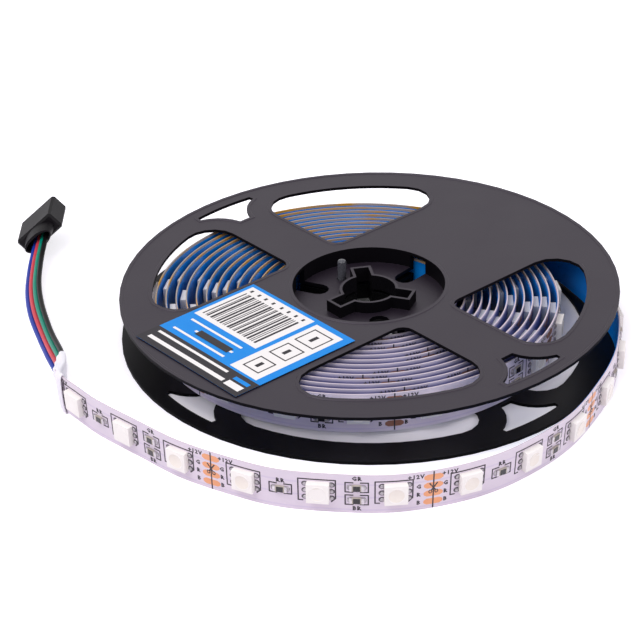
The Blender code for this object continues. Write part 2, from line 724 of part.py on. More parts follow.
black_plastic = plastic("black_polystyrene", (0.036, 0.034, 0.038), 0.5)
lower_plastic = plastic("black_polystyrene_lower", (0.020, 0.019, 0.022), 0.5)
board = plastic("white_flex_board", (0.72, 0.64, 0.78), 0.45)
liner_film = plastic("blue_liner", (0.01, 0.14, 0.52), 0.35)
led_body = plastic("led_housing", (0.83, 0.78, 0.74), 0.4)
chip = plastic("resistor_body", (0.03, 0.03, 0.03), 0.4)
sleeve_plastic = plastic("white_shrink_sleeve", (0.86, 0.84, 0.88), 0.4)
label_paper = plastic("label_film", (0.02, 0.30, 0.80), 0.4)
connector_plastic = plastic("connector_black", (0.04, 0.036, 0.04), 0.45)
brass = plastic("contact_brass", (0.70, 0.52, 0.22), 0.3, 1.0)
clear_plastic = plastic("clear_pin", (0.45, 0.45, 0.47), 0.3)
wire_materials = {
    "wire_blue": plastic("blue_insulation", (0.03, 0.06, 0.42), 0.4),
    "wire_red": plastic("red_insulation", (0.72, 0.05, 0.07), 0.4),
    "wire_green": plastic("green_insulation", (0.0, 0.28, 0.19), 0.4),
    "wire_black": plastic("black_insulation", (0.03, 0.024, 0.028), 0.4),
}

root = bpy.data.objects.new("reel_axis", None)
parts.objects.link(root)

upper_openings = []
lower_openings = []
for quarter in range(4):
    angle = STRUT_ANGLE + quarter * 0.5 * math.pi
    lower_openings.append(window_outline(angle, 1.0, "hub"))
    lower_openings.append(rim_gap_outline(angle))
for half_turn in range(2):
    angle = STRUT_ANGLE + half_turn * math.pi
    upper_openings.append(window_outline(angle, 1.0, "land"))
    upper_openings.append(window_outline(angle, -1.0, "land"))
    upper_openings.append(rim_gap_outline(angle))

lower = reel_half("reel_lower_half", -1, lower_openings, lower_plastic, parts, cutters)
upper = reel_half("reel_upper_half", 1, upper_openings, black_plastic, parts, cutters)
tilt = Matrix.Rotation(-TILT_TO_SIDE, 4, "Y") @ Matrix.Rotation(TILT_TO_BACK, 4, "X")
upper.matrix_world = Matrix.Translation((0.0, 0.0, MIDDLE)) @ tilt
build_label(parts, label_paper, tilt)
build_pin(parts, clear_plastic)

path = strip_path()
normals = path_normals(path)
distances = path_distances(path)
half_board = 0.5 * STRIP_THICKNESS
band("led_strip", path, normals, distances, -half_board, half_board, parts, board)
film_outer = -half_board - LINER_GAP
film = slice(1, len(path) - 3)
film_inner = film_outer - LINER_THICKNESS
band("release_liner", path[film], normals[film], distances[film], film_inner, film_outer, parts, liner_film)

tail_length = distances[min(range(len(path)), key=lambda index: (path[index] - Vector(TAIL_ROUTE[0])).length)]
led_pitch = SEGMENT_LENGTH / LEDS_PER_SEGMENT
led_count = int((tail_length - 0.5 * led_pitch) / led_pitch) + 1
led_parts = (LED_SIZE, LED_SIZE, LED_HEIGHT)
chip_parts = (RESISTOR_LENGTH, RESISTOR_WIDTH, RESISTOR_HEIGHT)
stand_off = half_board + PART_GAP
for index in range(led_count):
    left = (index + 0.5) * led_pitch
    place, normal, tangent = at_distance(path, distances, normals, left)
    height = strip_floor(place, left) + 0.5 * STRIP_WIDTH
    strip_part(f"led_{index + 1:02d}", led_parts, place, normal, tangent, height, stand_off, parts, led_body)
segment_count = int(tail_length / SEGMENT_LENGTH) + 1
for segment in range(segment_count):
    layout = [("r", 1.0, 0.0), ("g", 2.0, RESISTOR_OFFSET), ("b", 2.0, -RESISTOR_OFFSET)]
    for channel, step, offset in layout:
        left = segment * SEGMENT_LENGTH + step * led_pitch
        if left > tail_length - 0.5 * led_pitch:
            continue
        place, normal, tangent = at_distance(path, distances, normals, left)
        height = strip_floor(place, left) + 0.5 * STRIP_WIDTH + offset
        label = f"resistor_{channel}_{segment + 1}"
        strip_part(label, chip_parts, place, normal, tangent, height, stand_off, parts, chip)

build_sleeve(path, distances, normals, parts, sleeve_plastic)
build_wires(parts, wire_materials)
build_connector(parts, cutters, connector_plastic, brass)

for item in list(parts.objects):
    if item is not root and item.parent is None:
        item.parent = root
lead_names = WIRE_NAMES + ["connector_housing"] + [f"contact_{index + 1}" for index in range(len(WIRE_NAMES))]
seat_on_base(root, lead_names, parts)
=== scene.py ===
"""A reel of RGB LED strip lying flat, its free end loose on edge round the front, with its lead.

Everything is in metres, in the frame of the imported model: the reel stands on z = 0.
"""

import math

import bpy
import numpy as np
from mathutils import Matrix, Vector


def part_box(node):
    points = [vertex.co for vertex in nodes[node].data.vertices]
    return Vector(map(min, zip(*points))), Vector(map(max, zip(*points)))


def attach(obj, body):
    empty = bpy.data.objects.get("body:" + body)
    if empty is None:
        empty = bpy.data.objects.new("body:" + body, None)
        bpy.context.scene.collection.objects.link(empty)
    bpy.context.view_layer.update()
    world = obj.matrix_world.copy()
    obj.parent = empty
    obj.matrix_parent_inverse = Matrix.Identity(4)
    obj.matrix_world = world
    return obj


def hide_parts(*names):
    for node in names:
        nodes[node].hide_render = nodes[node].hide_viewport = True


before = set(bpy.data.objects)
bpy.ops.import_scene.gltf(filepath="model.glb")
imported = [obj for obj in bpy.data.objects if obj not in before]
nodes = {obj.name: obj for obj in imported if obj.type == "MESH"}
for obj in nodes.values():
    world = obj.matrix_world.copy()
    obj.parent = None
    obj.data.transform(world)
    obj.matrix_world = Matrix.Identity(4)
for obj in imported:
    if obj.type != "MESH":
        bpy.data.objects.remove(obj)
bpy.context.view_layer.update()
MM = 0.001

# Camera: a long lens in front of the reel, looking down at about 30 degrees and a hair to the left.
# The small roll is the photo's own.
reel_axis = Vector((7.56 * MM, 10.41 * MM, 0.0))
lens_place = reel_axis + Vector((0.0, -494.18 * MM, 281.40 * MM))
lens_heading = math.radians(1.408)
lens_drop = math.radians(29.391)
lens_roll = math.radians(-0.496)

bpy.ops.object.select_all(action="DESELECT")
lens_turn = Matrix.Rotation(lens_heading, 3, "Z") @ Matrix.Rotation(0.5 * math.pi - lens_drop, 3, "X")
lens_turn = lens_turn @ Matrix.Rotation(lens_roll, 3, "Z")
bpy.ops.object.camera_add(location=lens_place, rotation=lens_turn.to_euler())
camera = bpy.context.object
camera.name = "photo_camera"
camera.data.sensor_width = 36.0
camera.data.lens = 129.29
camera.data.clip_start = 0.01
bpy.context.scene.camera = camera
bpy.context.scene.view_settings.view_transform = "Standard"


# Floor and light: a white sweep under two large soft lamps and a pale room. The camera, and what it
# sees mirrored or through clear plastic, finds the floor lifted to white except close to the reel,
# where the lift fades out as painted shade under the reel.
def linear(code, share=1.0):
    """An sRGB hex colour as linear RGBA, and a share of its light."""
    channels = [int(code[index:index + 2], 16) / 255.0 for index in (1, 3, 5)]
    curved = [c / 12.92 if c <= 0.04045 else ((c + 0.055) / 1.055) ** 2.4 for c in channels]
    return (*(share * c for c in curved), 1.0)


def add(tree, kind, inputs=None, **settings):
    """Add a shader node with its settings, and set or link its sockets."""
    node = tree.nodes.new(kind)
    for name, value in settings.items():
        setattr(node, name, value)
    for socket, value in (inputs or {}).items():
        if isinstance(value, bpy.types.NodeSocket):
            tree.links.new(value, node.inputs[socket])
        else:
            node.inputs[socket].default_value = value
    return node


def blank(name):
    """A new material, its tree, its shader, and the place on the piece that its textures follow."""
    material = bpy.data.materials.new(name)
    material.use_nodes = True
    tree = material.node_tree
    where = add(tree, "ShaderNodeTexCoord")
    return material, tree, tree.nodes["Principled BSDF"], where.outputs["Object"]


def seen_directly(tree):
    """A socket that is 1 for rays from the camera, a shine or clear plastic, and 0 for other light."""
    rays = add(tree, "ShaderNodeLightPath")
    direct = rays.outputs["Is Camera Ray"]
    for kind in ("Is Glossy Ray", "Is Transmission Ray"):
        either = add(tree, "ShaderNodeMath", {0: direct, 1: rays.outputs[kind]}, operation="MAXIMUM")
        direct = either.outputs[0]
    return direct


sweep_colour = "#F3EFF5"
sweep_lift = 0.55
# Close to the reel the lift drops to this, as painted shade under the reel.
under_reel_lift = 0.03
lift_starts = 54.0 * MM
lift_full = 68.0 * MM
room_colour = "#F7F8FF"
room_light = 0.6
key_power = 5.2
fill_power = 2.4

bpy.ops.mesh.primitive_plane_add(size=6.0, location=(0.0, 0.0, -0.04 * MM))
sweep = bpy.context.object
sweep.name = "sweep"
sweep_paper = bpy.data.materials.new("white sweep paper")
sweep_paper.use_nodes = True
tree = sweep_paper.node_tree
tree.nodes.clear()
paper = add(tree, "ShaderNodeBsdfDiffuse", {"Color": linear(sweep_colour), "Roughness": 0.6})
where = add(tree, "ShaderNodeTexCoord").outputs["Object"]
from_reel = add(tree, "ShaderNodeVectorMath", {0: where, 1: reel_axis}, operation="DISTANCE")
# Painted shade: the lift fades out close to the reel, darkening the floor seen under it.
lift = add(tree, "ShaderNodeMapRange", {
    "Value": from_reel.outputs["Value"],
    "From Min": lift_starts,
    "From Max": lift_full,
    "To Min": under_reel_lift,
    "To Max": sweep_lift,
})
glow = add(tree, "ShaderNodeEmission", {"Strength": lift.outputs[0]})
dark = add(tree, "ShaderNodeEmission", {"Strength": 0.0})
lifted = add(tree, "ShaderNodeMixShader", {0: seen_directly(tree), 1: dark.outputs[0], 2: glow.outputs[0]})
both = add(tree, "ShaderNodeAddShader", {0: paper.outputs[0], 1: lifted.outputs[0]})
add(tree, "ShaderNodeOutputMaterial", {"Surface": both.outputs[0]})
sweep.data.materials.append(sweep_paper)

room = bpy.data.worlds.new("pale room")
bpy.context.scene.world = room
room.use_nodes = True
tree = room.node_tree
tree.nodes.clear()
dim = add(tree, "ShaderNodeBackground", {"Color": linear(room_colour), "Strength": room_light})
plain = add(tree, "ShaderNodeBackground", {"Color": (1.0, 1.0, 1.0, 1.0), "Strength": 1.0})
mixed = add(tree, "ShaderNodeMixShader", {0: seen_directly(tree), 1: dim.outputs[0], 2: plain.outputs[0]})
add(tree, "ShaderNodeOutputWorld", {"Surface": mixed.outputs[0]})

lamps = [
    ("key_softbox", (-0.45, -0.35, 0.80), 0.70, key_power),
    ("fill_softbox", (0.70, -0.45, 0.55), 0.60, fill_power),
]
for name, place, size, power in lamps:
    bpy.ops.object.light_add(type="AREA", location=place)
    lamp = bpy.context.object
    lamp.name = name
    lamp.data.size = size
    lamp.data.energy = power
    lamp.rotation_euler = (-Vector(place)).to_track_quat("-Z", "Y").to_euler()


# Lead: four thin PVC-insulated wires, laid side by side, soldered to the strip inside the sleeve and
# crimped in the connector. They lie on the floor and lift into the connector on their own stiffness.
wire_radius = 0.65 * MM
wire_pitch = 1.42 * MM
solder_pitch = 1.85 * MM
fan_share = 0.25
lead_route = [
    (-71.9, -32.0, 5.1, 86.0),
    (-72.9, -27.5, 5.0, 77.0),
    (-74.2, -22.9, 4.7, 67.0),
    (-76.7, -15.5, 3.7, 58.0),
    (-79.5, -6.6, 2.7, 55.0),
    (-83.2, 6.0, 2.3, 46.0),
    (-85.4, 17.4, 2.3, 44.0),
    (-86.2, 28.1, 3.0, 43.0),
    (-86.0, 33.8, 4.6, 43.0),
    (-85.8, 38.0, 5.5, 43.0),
    (-85.7, 41.6, 5.7, 43.0),
]
wire_skins = {
    "wire_blue": ("#1E3AA8", 0.25),
    "wire_red": ("#DC3E4E", 0.25),
    "wire_green": ("#008F76", 0.25),
    "wire_black": ("#0B090A", 0.1),
}


def smooth_line(points, spacing):
    """Points along a smooth curve through the given ones, at about the given spacing."""
    line = []
    count = len(points)
    for index in range(count - 1):
        before = points[max(index - 1, 0)]
        start = points[index]
        end = points[index + 1]
        after = points[min(index + 2, count - 1)]
        steps = max(2, round((end - start).xy.length / spacing))
        for step in range(steps):
            t = step / steps
            a = 2.0 * start
            b = (end - before) * t
            c = (2.0 * before - 5.0 * start + 4.0 * end - after) * t * t
            d = (3.0 * start - before - 3.0 * end + after) * t * t * t
            line.append(0.5 * (a + b + c + d))
    line.append(points[-1].copy())
    return line


def pvc(name, code, shine):
    """Extruded PVC insulation: even colour with a soft shine and a faint drag along the wire."""
    material, tree, shader, where = blank(name)
    drag = add(tree, "ShaderNodeTexNoise", {"Vector": where, "Scale": 900.0, "Detail": 3.0}).outputs["Fac"]
    tone = add(tree, "ShaderNodeMixRGB", {0: drag, 1: linear(code), 2: linear(code, 0.78)})
    bump = add(tree, "ShaderNodeBump", {"Height": drag, "Strength": 0.12, "Distance": 0.05 * MM})
    tree.links.new(tone.outputs[0], shader.inputs["Base Color"])
    tree.links.new(bump.outputs[0], shader.inputs["Normal"])
    shader.inputs["Roughness"].default_value = 0.38
    shader.inputs["Specular IOR Level"].default_value = shine
    return material


def stations(route):
    """A listed route in millimetres, with the lean in degrees of what lies on it, as vectors."""
    return [Vector((x * MM, y * MM, z * MM, lean)) for x, y, z, lean in route]


lead_line = smooth_line(stations(lead_route), 1.2 * MM)
for order, (name, (code, shine)) in enumerate(wire_skins.items()):
    points = []
    for step, station in enumerate(lead_line):
        ahead = lead_line[min(step + 1, len(lead_line) - 1)]
        behind = lead_line[max(step - 1, 0)]
        heading = (ahead - behind).xy.normalized()
        side = Vector((heading.y, -heading.x))
        share = min(step / (fan_share * len(lead_line)), 1.0)
        offset = (order - 1.5) * (solder_pitch + (wire_pitch - solder_pitch) * share)
        lean = math.radians(station.w)
        flat = offset * math.cos(lean)
        height = station.z + offset * math.sin(lean)
        points.append(Vector((station.x + side.x * flat, station.y + side.y * flat, height)) + reel_axis)
    bpy.ops.object.select_all(action="DESELECT")
    bpy.ops.curve.primitive_bezier_curve_add()
    wire = bpy.context.object
    wire.name = f"lead_{name}"
    wire.data.splines.clear()
    wire.location = (0.0, 0.0, 0.0)
    spline = wire.data.splines.new("POLY")
    spline.points.add(len(points) - 1)
    for point, place in zip(spline.points, points):
        point.co = (*place, 1.0)
    wire.data.bevel_depth = wire_radius
    wire.data.bevel_resolution = 4
    wire.data.use_fill_caps = True
    wire.data.materials.append(pvc(f"PVC insulation {name[5:]}", code, shine))
    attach(wire, "root")
    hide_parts(name)


# Connector: a four-way female housing moulded in black nylon, with an oval collar that grips the
# wires and four brass contacts pressed in from behind.
connector_colour = "#0F0C10"
connector_growth = 1.14
connector_shift = Vector((0.1 * MM, -0.7 * MM, 0.27 * MM))
grain_depth = 0.03 * MM


def select_only(piece):
    """Make one object the only selected one, and the active one."""
    bpy.ops.object.select_all(action="DESELECT")
    piece.select_set(True)
    bpy.context.view_layer.objects.active = piece


def merged_copy(name, node):
    """A new piece with the CAD node's shape, its triangles merged and flat areas joined."""
    piece = bpy.data.objects.new(name, nodes[node].data.copy())
    bpy.context.scene.collection.objects.link(piece)
    piece.data.materials.clear()
    select_only(piece)
    bpy.ops.object.mode_set(mode="EDIT")
    bpy.ops.mesh.select_all(action="SELECT")
    bpy.ops.mesh.remove_doubles(threshold=0.002 * MM)
    bpy.ops.mesh.dissolve_limited(angle_limit=math.radians(1.0))
    bpy.ops.object.mode_set(mode="OBJECT")
    return piece


def soften(piece, width, segments=2, angle=35.0):
    """Round the sharp edges, as a mould does, and smooth the shading."""
    bevel = piece.modifiers.new("soft edges", "BEVEL")
    bevel.width = width
    bevel.segments = segments
    bevel.limit_method = "ANGLE"
    bevel.angle_limit = math.radians(angle)
    bevel.use_clamp_overlap = True
    select_only(piece)
    bpy.ops.object.modifier_apply(modifier=bevel.name)
    bpy.ops.object.shade_smooth_by_angle(angle=math.radians(38.0))
    flats = piece.modifiers.new("flat faces stay flat", "WEIGHTED_NORMAL")
    flats.keep_sharp = True
    bpy.ops.object.modifier_apply(modifier=flats.name)
    return piece


def moulded(name, code, roughness, grain, depth, shine, sheen=(1.0, 1.0, 1.0)):
    """Injection-moulded plastic: one colour, faint flow mottling, and a fine spark-eroded grain.

    grain is the size of the grain in metres, and depth is its height. sheen tints the shine.
    """
    material, tree, shader, where = blank(name)
    flow = add(tree, "ShaderNodeTexNoise", {"Vector": where, "Scale": 60.0, "Detail": 4.0}).outputs["Fac"]
    fine = add(tree, "ShaderNodeTexNoise", {"Vector": where, "Scale": 1.0 / grain, "Detail": 2.0})
    tone = add(tree, "ShaderNodeMixRGB", {0: flow, 1: linear(code, 0.88), 2: linear(code, 1.12)})
    worn = add(tree, "ShaderNodeMapRange", {
        "Value": flow,
        "To Min": roughness - 0.05,
        "To Max": roughness + 0.06,
    })
    bump = add(tree, "ShaderNodeBump", {"Height": fine.outputs["Fac"], "Strength": 0.35, "Distance": depth})
    tree.links.new(tone.outputs[0], shader.inputs["Base Color"])
    tree.links.new(worn.outputs[0], shader.inputs["Roughness"])
    tree.links.new(bump.outputs[0], shader.inputs["Normal"])
    shader.inputs["Specular IOR Level"].default_value = shine
    shader.inputs["Specular Tint"].default_value = (*sheen, 1.0)
    return material


connector = merged_copy("lead_connector", "connector_housing")
connector_middle = 0.5 * (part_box("connector_housing")[0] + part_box("connector_housing")[1])
grown = Matrix.Translation(connector_middle + connector_shift) @ Matrix.Scale(connector_growth, 4)
connector.data.transform(grown @ Matrix.Translation(-connector_middle))
soften(connector, 0.22 * MM, 2)
nylon = moulded("moulded black nylon", connector_colour, 0.5, 0.35 * MM, grain_depth, 0.14)
connector.data.materials.append(nylon)
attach(connector, "root")
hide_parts("connector_housing")

brass, tree, shader, where = blank("stamped brass contact")
stamp = add(tree, "ShaderNodeTexNoise", {"Vector": where, "Scale": 1500.0, "Detail": 3.0}).outputs["Fac"]
tarnish = add(tree, "ShaderNodeMixRGB", {0: stamp, 1: linear("#D8B468"), 2: linear("#B8924C")})
tree.links.new(tarnish.outputs[0], shader.inputs["Base Color"])
shader.inputs["Metallic"].default_value = 1.0
shader.inputs["Roughness"].default_value = 0.3
contacts = [f"contact_{index}" for index in range(1, 5)]
for name in contacts:
    nodes[name].data.materials.clear()
    nodes[name].data.materials.append(brass)


# Reel: two black polystyrene mouldings, each a flange with windows, half of the hub and a web with
# a keyed arbor tube. The halves are pressed together. The lower half is a darker, less shiny copy of
# the same plastic as painted shade, and the upright walls of both are darker and duller as painted shade.
upper_colour = "#160F19"
lower_shaded_colour = "#070709"
violet_sheen = (0.94, 0.84, 1.0)
edge_round = 0.34 * MM
reel_grain = 0.5 * MM
wall_tilt = 0.6
wall_roughness = 0.5
shaded_wall_shine = 0.06
flange_lean_rise = 3.2 * MM
hub_face_radius = 17.0 * MM


def sink_faces(piece, wanted, border, slope, depth):
    """Sink the faces that a test wants inside a flat border, down a short slope."""
    bpy.ops.object.mode_set(mode="EDIT")
    bpy.ops.mesh.select_mode(type="FACE")
    bpy.ops.mesh.select_all(action="DESELECT")
    bpy.ops.object.mode_set(mode="OBJECT")
    for face in piece.data.polygons:
        face.select = wanted(face)
    bpy.ops.object.mode_set(mode="EDIT")
    bpy.ops.mesh.inset(thickness=border, depth=0.0)
    bpy.ops.mesh.inset(thickness=slope, depth=-depth)
    bpy.ops.object.mode_set(mode="OBJECT")


def bordered(half):
    """Leave a narrow raised border on the flange's outer face, along its rim and windows."""
    top = max(vertex.co.z for vertex in half.data.vertices)

    def outer(face):
        near = min((half.data.vertices[index].co - reel_axis).xy.length for index in face.vertices)
        return face.normal.z > 0.9 and face.center.z > top - flange_lean_rise and near > hub_face_radius

    sink_faces(half, outer, 0.8 * MM, 0.16 * MM, 0.14 * MM)


# Painted shade: both halves are one plastic. The lower half gets a darker colour and less shine, and every
# upright wall a darker, duller copy.
reel_skins = {
    "reel_upper_half": (upper_colour, "#0A080C", 0.47, 0.57, "upper_reel_plastic"),
    "reel_lower_half": (lower_shaded_colour, "#050506", 0.42, 0.14, "lower_reel_plastic"),
}
for node, (code, shaded_wall_code, roughness, shine, slot) in reel_skins.items():
    half = merged_copy(node.replace("reel", "spool"), node)
    if node == "reel_upper_half":
        bordered(half)
    soften(half, edge_round, 3, 40.0)
    kind = f"polystyrene {node[5:10]}"
    half.data.materials.append(
        moulded(f"{kind} face", code, roughness, reel_grain, grain_depth, shine, violet_sheen))
    half.data.materials.append(
        moulded(f"{kind} wall", shaded_wall_code, wall_roughness, reel_grain, grain_depth, shaded_wall_shine))
    for face in half.data.polygons:
        face.material_index = 1 if abs(face.normal.z) < wall_tilt else 0
    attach(half, "root")
    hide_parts(node)


# Pin: a short clear rod pushed through both webs to hold the halves, its end rounded by its mould. It
# is a little hazy and stands in the hub beside the arbor tube.
pin_plastic, tree, shader, where = blank("clear acrylic pin")
haze = add(tree, "ShaderNodeTexNoise", {"Vector": where, "Scale": 700.0, "Detail": 2.0})
frost = add(tree, "ShaderNodeMapRange", {"Value": haze.outputs["Fac"], "To Min": 0.05, "To Max": 0.16})
tree.links.new(frost.outputs[0], shader.inputs["Roughness"])
shader.inputs["Base Color"].default_value = linear("#6E6E76")
shader.inputs["Transmission Weight"].default_value = 0.55
shader.inputs["IOR"].default_value = 1.49
pin = soften(merged_copy("clear_pin", "web_pin"), 0.12 * MM, 2)
pin.data.materials.append(pin_plastic)
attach(pin, "root")
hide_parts("web_pin")


# Strip: a flexible white board 10 mm wide. Like the real one it is made flat, with the distance from
# its free end along X, its width along Y and its outer face up, and then wound on the reel's hub. The
# turns lie looser on the left, and the tail stands loose on the floor, leaning a little outward.
strip_width = 10.0 * MM
strip_thickness = 0.3 * MM
liner_thickness = 0.1 * MM
liner_gap = 0.05 * MM
strip_bottom = 0.95 * MM
hub_radius = 20.0 * MM
first_turn_gap = 1.3 * MM
turn_pitch = 2.06 * MM
turn_count = 12.825
turn_points = 120
spiral_start = math.radians(10.0)
loose_bulge = 5.3 * MM
loose_side = math.radians(190.0)
floor_start = 61.6 * MM
floor_reach = 10.0 * MM
sleeve_lift = 0.7 * MM
sleeve_cover = 4.0 * MM
wound_shift = -4.7 * MM
tip_spread = 0.018
tip_reach = 60.0 * MM
tip_extension = 4.0 * MM
ribbon_step = 1.2 * MM
tail_lean = [(0.0, 5.0), (30.0, 4.0), (42.0, 3.0), (85.0, 3.0), (105.0, 4.0), (140.0, 4.0), (165.0, 0.0)]
inner_end = [(66.0, 0.95), (53.0, 1.0), (40.0, 1.1), (27.0, 1.2)]
tail_route = [
    (31.8, 40.6), (45.3, 28.5), (52.8, 16.0), (57.3, 4.4), (59.9, -8.0), (59.2, -20.2), (56.8, -31.3),
    (51.8, -42.7), (45.5, -53.5), (37.4, -63.0), (27.8, -71.1), (16.7, -76.7), (4.5, -79.7),
    (-7.8, -79.4), (-20.2, -77.4), (-31.6, -72.3), (-42.3, -65.9), (-51.6, -57.8), (-61.1, -49.4),
    (-67.2, -43.2), (-69.8, -40.3), (-71.4, -37.9),
]


def polar(radius, angle):
    """The place at a distance from the reel's axis, in a direction."""
    return Vector((radius * math.cos(angle), radius * math.sin(angle)))


def spiral_radius(turned_by):
    """Distance of the strip's middle from the reel's axis after so much turning."""
    share = turned_by / (2.0 * math.pi * turn_count)
    side = 0.5 + 0.5 * math.cos(spiral_start - turned_by - loose_side)
    return hub_radius + first_turn_gap + turn_pitch * turn_count * share + loose_bulge * share * side ** 2


whole_turn = 2.0 * math.pi * turn_count
spiral_steps = round(turn_count * turn_points)
spiral = []
for index in range(spiral_steps + 1):
    turned_by = whole_turn * index / spiral_steps
    spiral.append(polar(spiral_radius(turned_by), spiral_start - turned_by))
hub_end = [polar(hub_radius + offset * MM, math.radians(angle)) for angle, offset in inner_end]
line = smooth_line(hub_end + spiral[:1], 1.0 * MM)[:-1] + spiral[:-1]
line += smooth_line([spiral[-1]] + [Vector((x * MM, y * MM)) for x, y in tail_route], 1.0 * MM)
line = np.array([tuple(point) for point in reversed(line)])
steps = np.linalg.norm(np.diff(line, axis=0), axis=1)
line_at = np.concatenate([[0.0], np.cumsum(steps)])
strip_length = float(line_at[-1])
along = np.gradient(line, axis=0)
along /= np.linalg.norm(along, axis=1)[:, None]
outward = np.column_stack([along[:, 1], -along[:, 0]])
line = np.vstack([line[0] - tip_extension * along[0], line])
line_at = np.concatenate([[-tip_extension], line_at])
outward = np.vstack([outward[0], outward])
tail_end = float(line_at[np.argmin(np.linalg.norm(line - np.array(tail_route[0]) * MM, axis=1))])
lean_at, lean_angle = np.array(tail_lean).T


def ease(share):
    """A smooth step from 0 to 1."""
    share = np.clip(share, 0.0, 1.0)
    return share * share * (3.0 - 2.0 * share)


def wound(piece):
    """Bend a flat piece along the strip's line: X is the distance from the free end, Z is outward."""
    mesh = piece.data
    flat = np.empty(len(mesh.vertices) * 3)
    mesh.vertices.foreach_get("co", flat)
    flat = flat.reshape(-1, 3)
    at = np.clip(flat[:, 0], 0.0, strip_length)
    at = at - tip_spread * np.maximum(tip_reach - at, 0.0)
    place = np.column_stack([np.interp(at, line_at, line[:, axis]) for axis in (0, 1)])
    out = np.column_stack([np.interp(at, line_at, outward[:, axis]) for axis in (0, 1)])
    out /= np.linalg.norm(out, axis=1)[:, None]
    radius = np.linalg.norm(place, axis=1)
    lower_edge = strip_bottom * (1.0 - ease((radius - floor_start) / floor_reach))
    lift = sleeve_lift * ease(1.0 - (at - sleeve_cover) / (3.0 * sleeve_cover))
    lean = np.radians(np.interp(at / MM, lean_at, lean_angle))
    rise = 0.5 * strip_width + flat[:, 1]
    place += out * (flat[:, 2] * np.cos(lean) + rise * np.sin(lean))[:, None]
    height = np.maximum(lower_edge, lift) + rise * np.cos(lean) - flat[:, 2] * np.sin(lean)
    bent = np.column_stack([place[:, 0] + reel_axis.x, place[:, 1] + reel_axis.y, height])
    mesh.vertices.foreach_set("co", bent.ravel())
    mesh.update()
    return piece


def flat_ribbon(name, start, end, width, low, high, step, rows=2):
    """A flat ribbon with a closed edge, from one distance to another, between two heights."""
    bpy.ops.object.select_all(action="DESELECT")
    columns = max(1, round((end - start) / step))
    bpy.ops.mesh.primitive_grid_add(x_subdivisions=columns, y_subdivisions=rows, size=1.0)
    ribbon = bpy.context.object
    ribbon.name = name
    ribbon.scale = (end - start, width, 1.0)
    ribbon.location = (0.5 * (start + end), 0.0, 0.5 * (low + high))
    bpy.ops.object.transform_apply(location=True, rotation=True, scale=True)
    wall = ribbon.modifiers.new("thickness", "SOLIDIFY")
    wall.thickness = high - low
    wall.offset = 0.0
    bpy.ops.object.modifier_apply(modifier=wall.name)
    return ribbon


# White solder mask over copper on a polyimide core: a satin lavender-white, with the long copper
# tracks just showing through as faint lines. Past the outer turns a painted blue-violet shade darkens
# it down into the pack, where the turns shade each other.
track_lines = 3.0
packed_from = 560.0 * MM
pack_shade_starts = 10.9 * MM
pack_shade_full = 10.0 * MM
mask, tree, shader, where = blank("white solder mask")
unrolled = add(tree, "ShaderNodeUVMap", uv_map="UVMap")
split = add(tree, "ShaderNodeSeparateXYZ", {0: unrolled.outputs[0]})
tracks = add(tree, "ShaderNodeMath", {0: split.outputs["Y"], 1: track_lines * 2.0 * math.pi},
             operation="MULTIPLY")
waves = add(tree, "ShaderNodeMath", {0: tracks.outputs[0]}, operation="SINE")
edge = add(tree, "ShaderNodeMapRange", {"Value": waves.outputs[0], "From Min": 0.86, "From Max": 0.97})
edge.inputs["To Max"].default_value = 0.5
cloud = add(tree, "ShaderNodeTexNoise", {"Vector": where, "Scale": 90.0, "Detail": 3.0})
tone = add(tree, "ShaderNodeMixRGB", {0: cloud.outputs["Fac"], 1: linear("#E6DAE5"), 2: linear("#DED0DF")})
shade = add(tree, "ShaderNodeMixRGB", {0: edge.outputs[0], 1: tone.outputs[0], 2: linear("#CFC1DA")})
place = add(tree, "ShaderNodeSeparateXYZ", {0: where})
# Painted shade: from 560 mm along the strip, the mask darkens to blue-violet lower down the turns.
depth = add(tree, "ShaderNodeMapRange", {
    "Value": place.outputs["Z"],
    "From Min": pack_shade_starts,
    "From Max": pack_shade_full,
})
packed = add(tree, "ShaderNodeMath", {0: split.outputs["X"], 1: packed_from / strip_length},
             operation="GREATER_THAN")
painted_pack_shade = add(tree, "ShaderNodeMath", {0: depth.outputs[0], 1: packed.outputs[0]}, operation="MULTIPLY")
shade = add(tree, "ShaderNodeMixRGB", {0: painted_pack_shade.outputs[0], 1: shade.outputs[0], 2: linear("#6F6A96")})
bump = add(tree, "ShaderNodeBump", {"Height": waves.outputs[0], "Strength": 0.1, "Distance": 0.03 * MM})
tree.links.new(shade.outputs[0], shader.inputs["Base Color"])
tree.links.new(bump.outputs[0], shader.inputs["Normal"])
shader.inputs["Roughness"].default_value = 0.42

# The board's cut edge shows its layers: bright mask on the near side, and tan where the glue of the
# tape shows, which is on the far side of the pack.
tan_starts = -14.0 * MM
tan_full = 10.0 * MM
cut_edge, tree, shader, where = blank("cut edge of board and tape")
place = add(tree, "ShaderNodeSeparateXYZ", {0: where})
away = add(tree, "ShaderNodeMath", {0: place.outputs["X"], 1: -0.5, 2: place.outputs["Y"]},
           operation="MULTIPLY_ADD")
far = add(tree, "ShaderNodeMapRange", {
    "Value": away.outputs[0],
    "From Min": tan_starts,
    "From Max": tan_full,
})
unrolled = add(tree, "ShaderNodeUVMap", uv_map="UVMap")
split = add(tree, "ShaderNodeSeparateXYZ", {0: unrolled.outputs[0]})
in_pack = add(tree, "ShaderNodeMath", {0: split.outputs["X"], 1: tail_end / strip_length},
              operation="GREATER_THAN")
far = add(tree, "ShaderNodeMath", {0: far.outputs[0], 1: in_pack.outputs[0]}, operation="MULTIPLY")
glue = add(tree, "ShaderNodeTexNoise", {"Vector": where, "Scale": 110.0, "Detail": 2.0})
aged = add(tree, "ShaderNodeMapRange", {"Value": glue.outputs["Fac"], "From Min": 0.46, "From Max": 0.66})
tan = add(tree, "ShaderNodeMixRGB", {0: aged.outputs[0], 1: linear("#A69A94"), 2: linear("#C48F2A")})
